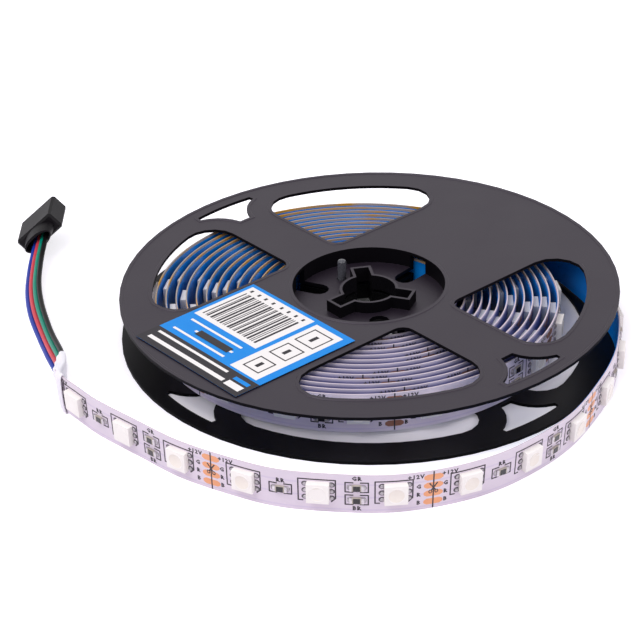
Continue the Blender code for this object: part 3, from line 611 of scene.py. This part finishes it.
layers = add(tree, "ShaderNodeMixRGB", {0: far.outputs[0], 1: linear("#D6C6CF"), 2: tan.outputs[0]})
tree.links.new(layers.outputs[0], shader.inputs["Base Color"])
shader.inputs["Roughness"].default_value = 0.6

half_board = 0.5 * strip_thickness
board = flat_ribbon("strip_board", 0.0, strip_length, strip_width, -half_board, half_board, ribbon_step)
board.data.materials.append(mask)
board.data.materials.append(cut_edge)
for face in board.data.polygons:
    face.material_index = 1 if face.normal.z < 0.5 else 0
wound(board)
bpy.ops.object.shade_smooth_by_angle(angle=math.radians(30.0))
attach(board, "root")
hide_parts("led_strip")


# Liner: the blue polyester film on the tape's glue, on the strip's inner side all along. It starts
# past the sleeve, and its upper edge lies a little lower where the strip is wound.
liner_start = 9.0 * MM
liner_end = strip_length - 1.0 * MM
liner_width = strip_width - 0.3 * MM
liner_top = -half_board - liner_gap
liner_inset = 0.45 * MM
liner_film, tree, shader, where = blank("blue polyester film")
cloud = add(tree, "ShaderNodeTexNoise", {"Vector": where, "Scale": 130.0, "Detail": 3.0}).outputs["Fac"]
tone = add(tree, "ShaderNodeMixRGB", {0: cloud, 1: linear("#0578D8"), 2: linear("#0F8AE6")})
bump = add(tree, "ShaderNodeBump", {"Height": cloud, "Strength": 0.2, "Distance": 0.08 * MM})
tree.links.new(tone.outputs[0], shader.inputs["Base Color"])
tree.links.new(bump.outputs[0], shader.inputs["Normal"])
shader.inputs["Roughness"].default_value = 0.3
shader.inputs["Specular IOR Level"].default_value = 0.2
liner = flat_ribbon("liner_film", liner_start, liner_end, liner_width, liner_top - liner_thickness, liner_top,
                    ribbon_step)
liner.data.materials.append(liner_film)
for vertex in liner.data.vertices:
    if vertex.co.x > tail_end and vertex.co.y > 0.3 * strip_width:
        vertex.co.y -= liner_inset
wound(liner)
bpy.ops.object.shade_smooth_by_angle(angle=math.radians(30.0))
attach(liner, "root")
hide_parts("release_liner")


# LEDs: a square white PPA package with a round pool of clear silicone over three chips, and three
# soldered legs on each side. One every 16.667 mm; those inside the turns are made plainer.
led_pitch = 50.0 / 3.0 * MM
led_size = 5.0 * MM
led_height = 1.55 * MM
led_rise = 0.45 * MM
pool_radius = 1.95 * MM
lens_radius = 1.2 * MM
leg_pitch = 1.75 * MM
leg_reach = 0.32 * MM
leg_size = (1.2 * MM, 1.0 * MM, 0.5 * MM)
bed_size = (1.55 * MM, 1.35 * MM, 0.04 * MM)


def shaped(kind, name, size, place, **settings):
    """Add a primitive of the given overall size with its middle at a place."""
    bpy.ops.object.select_all(action="DESELECT")
    kind(location=place, **settings)
    piece = bpy.context.object
    piece.name = name
    piece.dimensions = size
    bpy.ops.object.transform_apply(location=True, rotation=True, scale=True)
    return piece


def joined(name, pieces):
    """Make several pieces one object, keeping each one's material."""
    bpy.ops.object.select_all(action="DESELECT")
    for piece in pieces:
        piece.select_set(True)
    bpy.context.view_layer.objects.active = pieces[0]
    if len(pieces) > 1:
        bpy.ops.object.join()
    pieces[0].name = name
    return pieces[0]


def in_a_row(piece, pitch, count):
    """Repeat a flat piece along the strip."""
    row = piece.modifiers.new("row", "ARRAY")
    row.count = count
    row.use_relative_offset = False
    row.use_constant_offset = True
    row.constant_offset_displace = (pitch, 0.0, 0.0)
    select_only(piece)
    bpy.ops.object.modifier_apply(modifier=row.name)
    return piece


def resin(name, low_code, high_code, roughness, scale):
    """A cast or moulded resin with soft clouding."""
    material, tree, shader, where = blank(name)
    cloud = add(tree, "ShaderNodeTexNoise", {"Vector": where, "Scale": scale, "Detail": 3.0}).outputs["Fac"]
    tone = add(tree, "ShaderNodeMixRGB", {0: cloud, 1: linear(low_code), 2: linear(high_code)})
    tree.links.new(tone.outputs[0], shader.inputs["Base Color"])
    shader.inputs["Roughness"].default_value = roughness
    return material


package_white = resin("white PPA package", "#F8F1EC", "#FCF7F3", 0.42, 400.0)
pool_silicone = resin("clear silicone pool", "#F1E6DA", "#F8EFE6", 0.22, 900.0)
solder, tree, shader, where = blank("bright solder")
flow = add(tree, "ShaderNodeTexNoise", {"Vector": where, "Scale": 1800.0, "Detail": 2.0}).outputs["Fac"]
grey = add(tree, "ShaderNodeMixRGB", {0: flow, 1: linear("#5A545C"), 2: linear("#CFC9CE")})
bump = add(tree, "ShaderNodeBump", {"Height": flow, "Strength": 0.5, "Distance": 0.05 * MM})
tree.links.new(grey.outputs[0], shader.inputs["Base Color"])
tree.links.new(bump.outputs[0], shader.inputs["Normal"])
shader.inputs["Metallic"].default_value = 0.85
shader.inputs["Roughness"].default_value = 0.32
# A dark disc under each solder leg: the edge of the mask opening, darkened further as painted shade round the
# solder.
mask_edge_and_shade = resin("mask edge in painted shade round the solder", "#4A444B", "#6B646B", 0.5, 1200.0)


def led(name, middle, fine):
    """One LED, flat, with its middle at a distance from the free end."""
    top = half_board + led_height
    at = (middle, led_rise, half_board + 0.5 * led_height)
    body = shaped(bpy.ops.mesh.primitive_cube_add, name, (led_size, led_size, led_height), at)
    if fine:
        soften(body, 0.14 * MM, 2)
    body.data.materials.append(package_white)
    if not fine:
        return body
    pool_size = (2.0 * pool_radius, 2.0 * pool_radius, 0.1 * MM)
    pool = shaped(bpy.ops.mesh.primitive_cylinder_add, "pool", pool_size, (middle, led_rise, top - 0.01 * MM),
                  vertices=36)
    sink_faces(pool, lambda face: face.normal.z > 0.9, 0.16 * MM, 0.1 * MM, 0.06 * MM)
    bpy.ops.object.shade_smooth_by_angle(angle=math.radians(40.0))
    pool.data.materials.append(package_white)
    pool.data.materials.append(pool_silicone)
    for face in pool.data.polygons:
        inside = Vector((face.center.x - middle, face.center.y - led_rise)).length < lens_radius
        face.material_index = 1 if inside and face.normal.z > 0.5 else 0
    legs = []
    for side in (-1.0, 1.0):
        for row in (-1.0, 0.0, 1.0):
            at = middle + side * (0.5 * led_size + leg_reach)
            height = led_rise + row * leg_pitch
            leg = shaped(bpy.ops.mesh.primitive_uv_sphere_add, "leg", leg_size,
                         (at, height, half_board + 0.12 * MM), segments=12, ring_count=6)
            bpy.ops.object.shade_smooth()
            leg.data.materials.append(solder)
            bed = shaped(bpy.ops.mesh.primitive_cylinder_add, "bed", bed_size,
                         (at + side * 0.05 * MM, height, half_board + 0.02 * MM), vertices=14)
            bed.data.materials.append(mask_edge_and_shade)
            legs += [leg, bed]
    return joined(name, [body, pool] + legs)


tail_led_count = int((tail_end - 0.5 * led_pitch) / led_pitch) + 1
wound_led_count = int((strip_length - 8.0 * MM) / led_pitch) - tail_led_count
tail_leds = in_a_row(led("tail_leds", 0.5 * led_pitch, True), led_pitch, tail_led_count)
outer_led_count = 18
wound_start = (tail_led_count + 0.5) * led_pitch + wound_shift
outer_leds = in_a_row(led("outer_leds", wound_start, True), led_pitch, outer_led_count)
wound_start += outer_led_count * led_pitch
wound_leds = in_a_row(led("wound_leds", wound_start, False), led_pitch, wound_led_count - outer_led_count)
soften(wound_leds, 0.12 * MM, 1)
for row in (tail_leds, outer_leds, wound_leds):
    wound(row)
    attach(row, "root")
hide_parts(*[f"led_{index:02d}" for index in range(1, 16)])


# Resistors: alumina chips with tinned ends and a black glass face, one red-channel chip after the
# first LED of each cut length, and the green and blue ones together after the second.
chip_length = 3.2 * MM
chip_width = 1.6 * MM
chip_height = 0.6 * MM
pair_offset = 1.65 * MM
chip_rise = 0.15 * MM
cut_pitch = 50.0 * MM
face_size = (1.5 * MM, chip_width - 0.2 * MM, 0.08 * MM)
end_size = (0.75 * MM, chip_width, chip_height + 0.04 * MM)
fillet_size = (1.0 * MM, 1.5 * MM, 0.5 * MM)
alumina = resin("alumina chip", "#A69C92", "#C0B6AB", 0.5, 1500.0)
chip_glass = resin("black chip glaze", "#141216", "#2A272E", 0.2, 900.0)
tinned = resin("tinned chip end", "#8E8790", "#E4DEE2", 0.32, 1800.0)
tinned.node_tree.nodes["Principled BSDF"].inputs["Metallic"].default_value = 0.8


def resistor(name, middle, height):
    """One chip resistor, flat, with its two soldered ends."""
    top = half_board + chip_height
    half_way = half_board + 0.5 * chip_height
    core_size = (chip_length - 0.9 * MM, chip_width - 0.1 * MM, chip_height)
    core = shaped(bpy.ops.mesh.primitive_cube_add, name, core_size, (middle, height, half_way))
    soften(core, 0.05 * MM, 1)
    core.data.materials.append(alumina)
    face = shaped(bpy.ops.mesh.primitive_cube_add, "face", face_size, (middle, height, top + 0.02 * MM))
    soften(face, 0.03 * MM, 1)
    face.data.materials.append(chip_glass)
    ends = []
    for side in (-1.0, 1.0):
        end = shaped(bpy.ops.mesh.primitive_cube_add, "end", end_size,
                     (middle + side * (0.5 * chip_length - 0.33 * MM), height, half_way))
        soften(end, 0.18 * MM, 2)
        end.data.materials.append(tinned)
        fillet = shaped(bpy.ops.mesh.primitive_uv_sphere_add, "fillet", fillet_size,
                        (middle + side * (0.5 * chip_length + 0.05 * MM), height, half_board + 0.05 * MM),
                        segments=10, ring_count=6)
        bpy.ops.object.shade_smooth()
        fillet.data.materials.append(solder)
        ends += [end, fillet]
    return joined(name, [core, face] + ends)


cut_count = int(tail_end / cut_pitch) + 1
outer_count = 6
outer_start = cut_count * cut_pitch + wound_shift
for name, start, count in (("tail_resistors", 0.0, cut_count), ("outer_resistors", outer_start, outer_count)):
    chips = [
        resistor("chip", start + led_pitch, chip_rise),
        resistor("chip", start + 2.0 * led_pitch, chip_rise + pair_offset),
        resistor("chip", start + 2.0 * led_pitch, chip_rise - pair_offset),
    ]
    row = wound(in_a_row(joined(name, chips), cut_pitch, count))
    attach(row, "root")
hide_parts(*[f"resistor_{channel}_{index}" for channel in "rgb" for index in range(1, 6)])


# Cut lines: every 50 mm four bare copper pads end the four tracks, with a printed line and scissors
# across them. The pads have round ends and a thin lacquer.
pad_length = 4.4 * MM
pad_width = 1.55 * MM
print_height = 0.02 * MM
print_top = half_board + print_height
line_width = 0.3 * MM
cut_line_width = 0.32 * MM
mark_height = 1.45 * MM

copper, tree, shader, where = blank("lacquered copper pad")
cloud = add(tree, "ShaderNodeTexNoise", {"Vector": where, "Scale": 500.0, "Detail": 4.0}).outputs["Fac"]
tone = add(tree, "ShaderNodeMixRGB", {0: cloud, 1: linear("#DF956A"), 2: linear("#EAA97F")})
tree.links.new(tone.outputs[0], shader.inputs["Base Color"])
shader.inputs["Roughness"].default_value = 0.38
shader.inputs["Metallic"].default_value = 0.25

ink = resin("black screen ink", "#2B242C", "#352D36", 0.6, 600.0)


def pad(middle, height):
    """One copper pad with round ends."""
    reach = 0.5 * pad_length
    piece = flat_ribbon("pad", -reach, reach, pad_width, half_board, print_top, 0.9 * MM, 4)
    straight = 0.5 * (pad_length - pad_width)
    for vertex in piece.data.vertices:
        round_end = math.sqrt(max((0.5 * pad_width) ** 2 - vertex.co.y ** 2, 0.0))
        vertex.co.x = middle + vertex.co.x * (straight + round_end) / reach
        vertex.co.y += height
    piece.data.materials.append(copper)
    return piece


def stroke(start, end, width=line_width):
    """One printed line from a place to another, on the flat strip."""
    start = Vector(start)
    end = Vector(end)
    half = 0.5 * (end - start).length + 0.3 * width
    middle = 0.5 * (start + end)
    piece = flat_ribbon("stroke", -half, half, width, half_board, print_top, 0.8 * MM, 1)
    piece.rotation_euler.z = math.atan2(end.y - start.y, end.x - start.x)
    piece.location = (middle.x, middle.y, 0.0)
    bpy.ops.object.transform_apply(location=True, rotation=True, scale=True)
    piece.data.materials.append(ink)
    return piece


def strokes(points, width=line_width):
    """Printed lines from each place to the next."""
    return [stroke(a, b, width) for a, b in zip(points, points[1:])]


def mark(words, middle, height):
    """A printed terminal mark, centred on a place."""
    bpy.ops.object.select_all(action="DESELECT")
    bpy.ops.object.text_add(location=(middle, height, half_board + 0.8 * print_height))
    piece = bpy.context.object
    piece.data.body = words
    piece.data.size = mark_height
    piece.data.align_x = "CENTER"
    piece.data.align_y = "CENTER"
    piece.data.resolution_u = 1
    piece.data.extrude = 0.3 * print_height
    piece.data.offset = 0.06 * MM
    piece.data.space_character = 1.2
    bpy.ops.object.convert(target="MESH")
    bpy.ops.object.transform_apply(location=True, rotation=True, scale=True)
    piece.data.materials.append(ink)
    return piece


def led_outline(middle):
    """The printed frame round an LED, its last corner cut."""
    left = middle - 4.4 * MM
    right = middle + 3.75 * MM
    top = led_rise + 2.95 * MM
    low = led_rise - 2.75 * MM
    corner = 0.9 * MM
    outline = [(right - corner, low), (right, low + corner), (right, top), (left, top), (left, low)]
    return strokes(outline + [(left + 1.0 * MM, low)])


def chip_outline(middle, height):
    """The two printed brackets round a resistor."""
    found = []
    high = height + 1.25 * MM
    low = height - 1.25 * MM
    for side in (-1.0, 1.0):
        near = middle + side * 0.8 * MM
        far = middle + side * 2.5 * MM
        found += strokes([(near, high), (far, high), (far, low), (near, low)])
    return found


def cut_marks(rows, start):
    """The marks beside the pads of one cut length's two ends."""
    found = []
    for words, height in rows:
        wide = words == "+12V"
        found.append(mark(words, start + cut_pitch - (3.95 if wide else 3.3) * MM, height))
        found.append(mark(words, start + (3.7 if wide else 2.75) * MM, height))
    return found


def scissors(place):
    """A cut line with a small pair of scissors across it."""
    found = [stroke((place, 4.8 * MM), (place, -4.8 * MM), cut_line_width)]
    for side in (-1.0, 1.0):
        blade = [(place + side * 0.85 * MM, 1.75 * MM), (place - side * 0.45 * MM, -0.1 * MM)]
        found += strokes(blade, 0.34 * MM)
        loop = [(place + side * (0.68 + 0.36 * math.cos(turn)) * MM, (-0.45 + 0.42 * math.sin(turn)) * MM)
                for turn in (math.radians(60.0 * step) for step in range(7))]
        found += strokes(loop, 0.22 * MM)
    return found


def length_print(start):
    """All that is printed on one cut length."""
    found = []
    for place in (0.5, 1.5, 2.5):
        found += led_outline(start + place * led_pitch)
    found += chip_outline(start + led_pitch, chip_rise)
    found += chip_outline(start + 2.0 * led_pitch, chip_rise + pair_offset)
    found += chip_outline(start + 2.0 * led_pitch, chip_rise - pair_offset)
    found.append(mark("RR", start + led_pitch, chip_rise + 2.1 * MM))
    found.append(mark("GR", start + 2.0 * led_pitch, 4.1 * MM))
    found.append(mark("BR", start + 2.0 * led_pitch, -3.8 * MM))
    found += cut_marks(pad_marks, start)
    return found + scissors(start + cut_pitch)


pad_rows = [3.4 * MM, 1.25 * MM, -0.9 * MM, -3.05 * MM]
pad_marks = list(zip(("+12V", "G", "R", "B"), (3.9 * MM, 1.25 * MM, -0.9 * MM, -3.05 * MM)))
inner_start = outer_start + outer_count * cut_pitch
inner_count = int((strip_length - inner_start) / cut_pitch)

tail_print = in_a_row(joined("tail_print", length_print(0.0)), cut_pitch, cut_count)
outer_print = in_a_row(joined("outer_print", length_print(outer_start)), cut_pitch, outer_count)
edge_print = cut_marks(pad_marks[:1], inner_start)
cut_at = inner_start + cut_pitch
edge_print.append(stroke((cut_at, 4.9 * MM), (cut_at, 1.0 * MM), cut_line_width))
inner_print = in_a_row(joined("inner_print", edge_print), cut_pitch, inner_count)
printing = wound(joined("strip_print", [tail_print, outer_print, inner_print]))
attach(printing, "root")

tail_pads = [pad(cut_pitch, height) for height in pad_rows]
tail_pads = in_a_row(joined("tail_pads", tail_pads), cut_pitch, cut_count)
# The pads in the wound turns are painted darker and browner, as shade under the flange and between the turns.
pack_shaded_copper = resin("copper pad in painted shade", "#8A5A48", "#A06C56", 0.5, 500.0)
wound_pads = [pad(outer_start + cut_pitch, height) for height in pad_rows]
wound_pads = in_a_row(joined("wound_pads", wound_pads), cut_pitch, outer_count + inner_count)
wound_pads.data.materials[0] = pack_shaded_copper
pads = wound(joined("strip_pads", [tail_pads, wound_pads]))
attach(pads, "root")


# Sleeve: white polyolefin tube shrunk over the solder joints, flat and upright over the strip's end
# and drawn in round the four wires, which show as ridges.
sleeve_mouth = (-73.65, -24.9, 4.85, 71.0)
strip_end_lean = 5.0
sleeve_room = 0.25 * MM
mouth_half_height = 3.15 * MM
sleeve_half_thickness = 0.72 * MM
wall_thickness = 0.3 * MM
drawn_from = 0.2
squareness = 0.7
ridge_height = 0.14 * MM
sleeve_rings = 30
sleeve_sides = 48


def strip_station(at):
    """The middle of the strip at a distance from its end, and its lean as the wires' is counted."""
    across = [np.interp(at, line_at, outward[:, axis]) for axis in (0, 1)]
    place = [np.interp(at, line_at, line[:, axis]) for axis in (0, 1)]
    lean = math.radians(strip_end_lean)
    reach = 0.5 * strip_width * math.sin(lean)
    height = sleeve_lift + 0.5 * strip_width * math.cos(lean)
    return Vector((place[0] + across[0] * reach, place[1] + across[1] * reach, height, 90.0 + strip_end_lean))


sleeve_route = [strip_station(at) for at in (0.65 * sleeve_cover, 0.2 * sleeve_cover)]
sleeve_route += stations(lead_route[:2] + [sleeve_mouth])
sleeve_line = smooth_line(sleeve_route, 0.4 * MM)
bpy.ops.object.select_all(action="DESELECT")
bpy.ops.mesh.primitive_grid_add(x_subdivisions=sleeve_rings - 1, y_subdivisions=sleeve_sides, size=1.0)
sleeve = bpy.context.object
sleeve.name = "shrink_sleeve"
for vertex in sleeve.data.vertices:
    share = vertex.co.x + 0.5
    turn = 2.0 * math.pi * (vertex.co.y + 0.5)
    here = share * (len(sleeve_line) - 1)
    index = min(int(here), len(sleeve_line) - 2)
    station = sleeve_line[index].lerp(sleeve_line[index + 1], here - index)
    heading = (sleeve_line[index + 1] - sleeve_line[index]).xyz.normalized()
    side = Vector((heading.y, -heading.x, 0.0)).normalized()
    lean = math.radians(station.w)
    upward = side * math.cos(lean) + Vector((0.0, 0.0, math.sin(lean)))
    through = heading.cross(upward).normalized()
    past = max(share - drawn_from, 0.0) / (1.0 - drawn_from)
    half_height = 0.5 * strip_width + sleeve_room
    half_height += (mouth_half_height - half_height) * past
    half_height = min(half_height, station.z / math.sin(lean) - wall_thickness - 0.05 * MM)
    across = math.copysign(abs(math.cos(turn)) ** squareness, math.cos(turn))
    up = math.copysign(abs(math.sin(turn)) ** squareness, math.sin(turn))
    ridge = ridge_height * past * math.cos(up * 4.0 * math.pi)
    spot = station.xyz + through * across * (sleeve_half_thickness + ridge) + upward * up * half_height
    vertex.co = spot + reel_axis
bpy.ops.object.mode_set(mode="EDIT")
bpy.ops.mesh.select_all(action="SELECT")
bpy.ops.mesh.remove_doubles(threshold=0.004 * MM)
bpy.ops.mesh.normals_make_consistent(inside=False)
bpy.ops.object.mode_set(mode="OBJECT")
wall = sleeve.modifiers.new("wall", "SOLIDIFY")
wall.thickness = wall_thickness
wall.offset = 1.0
bpy.ops.object.modifier_apply(modifier=wall.name)
bpy.ops.object.shade_smooth_by_angle(angle=math.radians(50.0))
sleeve_tube = resin("white shrink tube", "#EFEAF2", "#F6F2F8", 0.4, 300.0)
tree = sleeve_tube.node_tree
shader = tree.nodes["Principled BSDF"]
where = add(tree, "ShaderNodeTexCoord").outputs["Object"]
crease = add(tree, "ShaderNodeTexNoise", {"Vector": where, "Scale": 450.0, "Detail": 3.0}).outputs["Fac"]
bump = add(tree, "ShaderNodeBump", {"Height": crease, "Strength": 0.3, "Distance": 0.15 * MM})
tree.links.new(bump.outputs[0], shader.inputs["Normal"])
shader.inputs["Subsurface Weight"].default_value = 0.15
shader.inputs["Subsurface Radius"].default_value = (1.2 * MM, 1.1 * MM, 1.2 * MM)
sleeve.data.materials.append(sleeve_tube)
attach(sleeve, "root")
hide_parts("solder_sleeve")


# Label: a square of printed polypropylene film stuck on the wide bar of the upper flange. Its print
# is a plain layout of its own: a blue field, two white panels, bars of many widths and plain rules.
label_low, label_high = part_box("label")
label_width = 37.6 * MM
label_depth = 36.0 * MM
label_turn = math.radians(221.9)
label_lean = Matrix.Rotation(math.radians(-1.36), 4, "Y") @ Matrix.Rotation(math.radians(0.69), 4, "X")
print_step = 0.03 * MM
first_bar = 2.4
last_bar = 22.6
frame_line = 0.35

film_blue = resin("blue printed film", "#0082DC", "#0A8EE4", 0.35, 350.0)
film_white = resin("white printed film", "#F1EBE9", "#F7F2F0", 0.38, 350.0)
film_dark = resin("charcoal printed film", "#2A272B", "#343036", 0.42, 350.0)
for film in (film_blue, film_white, film_dark):
    film.node_tree.nodes["Principled BSDF"].inputs["Specular IOR Level"].default_value = 0.18


def field(name, left, right, near, far, layer, material):
    """A printed field on the label: across it from left to right, and from its inner edge outward."""
    size = ((far - near) * MM, (right - left) * MM, print_step)
    outward_at = 0.5 * (near + far) * MM - 0.5 * label_depth
    across_at = 0.5 * (left + right) * MM - 0.5 * label_width
    place = (outward_at, across_at, (layer + 0.5) * print_step)
    piece = shaped(bpy.ops.mesh.primitive_cube_add, name, size, place)
    piece.data.materials.append(material)
    return piece


label_parts = [
    field("film", 0.0, 37.6, 0.0, 36.0, 0.0, film_blue),
    field("band", 0.0, 37.6, 29.0, 36.0, 1.0, film_dark),
    field("panel", 1.1, 24.3, 1.1, 19.3, 1.0, film_white),
    field("panel", 25.8, 35.3, 1.7, 28.2, 1.0, film_white),
]
bar_at = first_bar
for step in range(40):
    bar = 0.22 + 0.5 * abs(math.sin(step * 2.3 + 0.7)) ** 3
    label_parts.append(field("bar", bar_at, bar_at + bar, 4.2, 17.8, 2.0, film_dark))
    if step % 3 == 0:
        label_parts.append(field("tick", bar_at, bar_at + 0.7, 2.2, 3.2, 2.0, film_dark))
    bar_at += bar + 0.24 + 0.5 * abs(math.cos(step * 1.7)) ** 2
    if bar_at > last_bar:
        break
for left, right, near in ((3.0, 22.0, 21.2), (8.0, 22.0, 24.0), (3.0, 22.0, 26.6)):
    label_parts.append(field("rule", left, right, near, near + 0.7, 2.0, film_white))
label_parts.append(field("block", 9.0, 21.0, 23.2, 25.4, 3.0, film_dark))
for left, right, near, wide in ((2.0, 28.0, 30.2, 0.8), (2.0, 30.0, 32.9, 1.2)):
    label_parts.append(field("rule", left, right, near, near + wide, 2.0, film_white))
label_parts.append(field("accent", 31.0, 36.2, 30.4, 31.6, 2.0, film_blue))
label_parts.append(field("accent", 31.0, 36.2, 32.4, 34.4, 2.0, film_white))
for near, size in ((3.4, 6.6), (12.0, 6.0), (20.4, 5.6)):
    left = 30.55 - 0.5 * size
    right = left + size
    far = near + size
    sides = [
        (left, right, near, near + frame_line),
        (left, right, far - frame_line, far),
        (left, left + frame_line, near, far),
        (right - frame_line, right, near, far),
    ]
    for low, high, inner, outer in sides:
        label_parts.append(field("frame", low, high, inner, outer, 2.0, film_dark))
    label_parts.append(field("dot", 30.0, 31.1, near + 0.3 * size, near + 0.7 * size, 2.0, film_dark))
label = joined("reel_label", label_parts)
label_middle = 0.5 * (label_low + label_high)
seat = Matrix.Translation(label_middle) @ label_lean @ Matrix.Rotation(label_turn, 4, "Z")
label.data.transform(seat)
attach(label, "root")
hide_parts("label")
